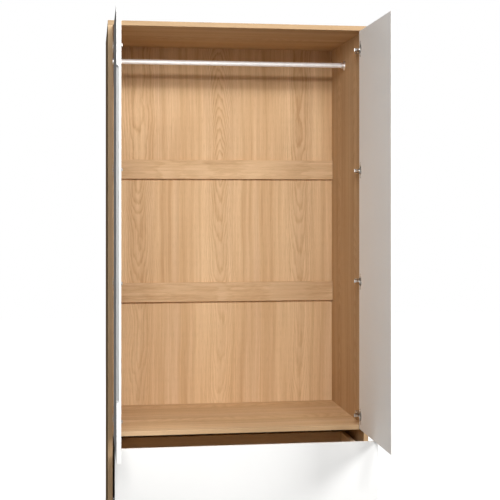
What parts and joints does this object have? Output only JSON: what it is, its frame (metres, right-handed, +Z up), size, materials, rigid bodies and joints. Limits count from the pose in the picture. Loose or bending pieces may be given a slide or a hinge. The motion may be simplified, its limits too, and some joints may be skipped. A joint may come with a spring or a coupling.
{
  "type": "chifforobe",
  "caption": "Tall hanging closet with inset swing doors over a deep full-width drawer: oak boards, white fronts, hanging rail, concealed hinges and telescopic runners.",
  "frame": {"origin": "on the floor, at the centre of the bounding box with the doors open at a right angle and the drawer pulled out", "axes": "+Z up; -Y is the front, where the doors open; +X to the right for someone who faces the front"},
  "size_m": [1, 1.0906, 2],
  "materials": {
    "oak": "matt lacquered oak grain",
    "back_board": "thin board, matt oak grain",
    "white_lacquer": "satin white lacquer on board",
    "rail_metal": "bright satin",
    "nickel": "nickel-plated steel",
    "zinc": "zinc-plated steel",
    "glide_plastic": "matt"
  },
  "bodies": {
    "carcass": {"side_panel_left": "oak", "side_panel_right": "oak", "top_panel": "oak", "closet_floor": "oak", "bottom_panel": "oak", "plinth_front": "oak", "plinth_rear": "oak", "back_batten_lower": "oak", "back_batten_upper": "oak", "back_panel_drawer_bay": "back_board", "back_panel_lower": "back_board", "back_panel_middle": "back_board", "back_panel_upper": "back_board", "hanging_rail": "rail_metal", "rail_socket_left": "rail_metal", "rail_socket_right": "rail_metal", "glide_front_left": "glide_plastic", "glide_rear_left": "glide_plastic", "glide_front_right": "glide_plastic", "glide_rear_right": "glide_plastic", "hinge_arm_left_1": "nickel", "hinge_arm_left_2": "nickel", "hinge_arm_left_3": "nickel", "hinge_arm_left_4": "nickel", "hinge_arm_right_1": "nickel", "hinge_arm_right_2": "nickel", "hinge_arm_right_3": "nickel", "hinge_arm_right_4": "nickel", "runner_cabinet_left": "zinc", "runner_cabinet_right": "zinc"},
    "links_left": {"hinge_link_left_1": "nickel", "hinge_link_left_2": "nickel", "hinge_link_left_3": "nickel", "hinge_link_left_4": "nickel"},
    "door_left": {"door_left": "white_lacquer", "hinge_cup_left_1": "nickel", "hinge_cup_left_2": "nickel", "hinge_cup_left_3": "nickel", "hinge_cup_left_4": "nickel"},
    "links_right": {"hinge_link_right_1": "nickel", "hinge_link_right_2": "nickel", "hinge_link_right_3": "nickel", "hinge_link_right_4": "nickel"},
    "door_right": {"door_right": "white_lacquer", "hinge_cup_right_1": "nickel", "hinge_cup_right_2": "nickel", "hinge_cup_right_3": "nickel", "hinge_cup_right_4": "nickel"},
    "drawer": {"drawer_front": "white_lacquer", "drawer_side_left": "oak", "drawer_side_right": "oak", "drawer_back": "oak", "drawer_bottom": "back_board", "runner_drawer_left": "zinc", "runner_drawer_right": "zinc"},
    "runner_middles": {"runner_middle_left": "zinc", "runner_middle_right": "zinc"}
  },
  "joints": [
    {"name": "hinge_links_left", "type": "hinge", "parent": "carcass", "child": "links_left", "pos_m": [-0.4473, -0.05675, 0.49195], "axis": [0, 0, 1], "range_deg": [-43.25, 2.45]},
    {"name": "door_left_swing", "type": "hinge", "parent": "links_left", "child": "door_left", "pos_m": [-0.46843, -0.07295, 0.49195], "axis": [0, 0, -1], "range_deg": [-133.2, 7.4]},
    {"name": "hinge_links_right", "type": "hinge", "parent": "carcass", "child": "links_right", "pos_m": [0.4473, -0.05675, 0.49195], "axis": [0, 0, -1], "range_deg": [-43.25, 2.45]},
    {"name": "door_right_swing", "type": "hinge", "parent": "links_right", "child": "door_right", "pos_m": [0.46843, -0.07295, 0.49195], "axis": [0, 0, 1], "range_deg": [-133.2, 7.4]},
    {"name": "drawer_slide", "type": "slide", "parent": "carcass", "child": "drawer", "axis": [0, -1, 0], "range_m": [-0.235, 0.265]},
    {"name": "runner_slide", "type": "slide", "parent": "carcass", "child": "runner_middles", "axis": [0, -1, 0], "range_m": [-0.1176, 0.1326]}
  ],
  "couplings": [
    {"joint": "hinge_links_left", "follows": "door_left_swing", "ratio": 0.32432},
    {"joint": "hinge_links_right", "follows": "door_right_swing", "ratio": 0.32432},
    {"joint": "runner_slide", "follows": "drawer_slide", "ratio": 0.5}
  ]
}
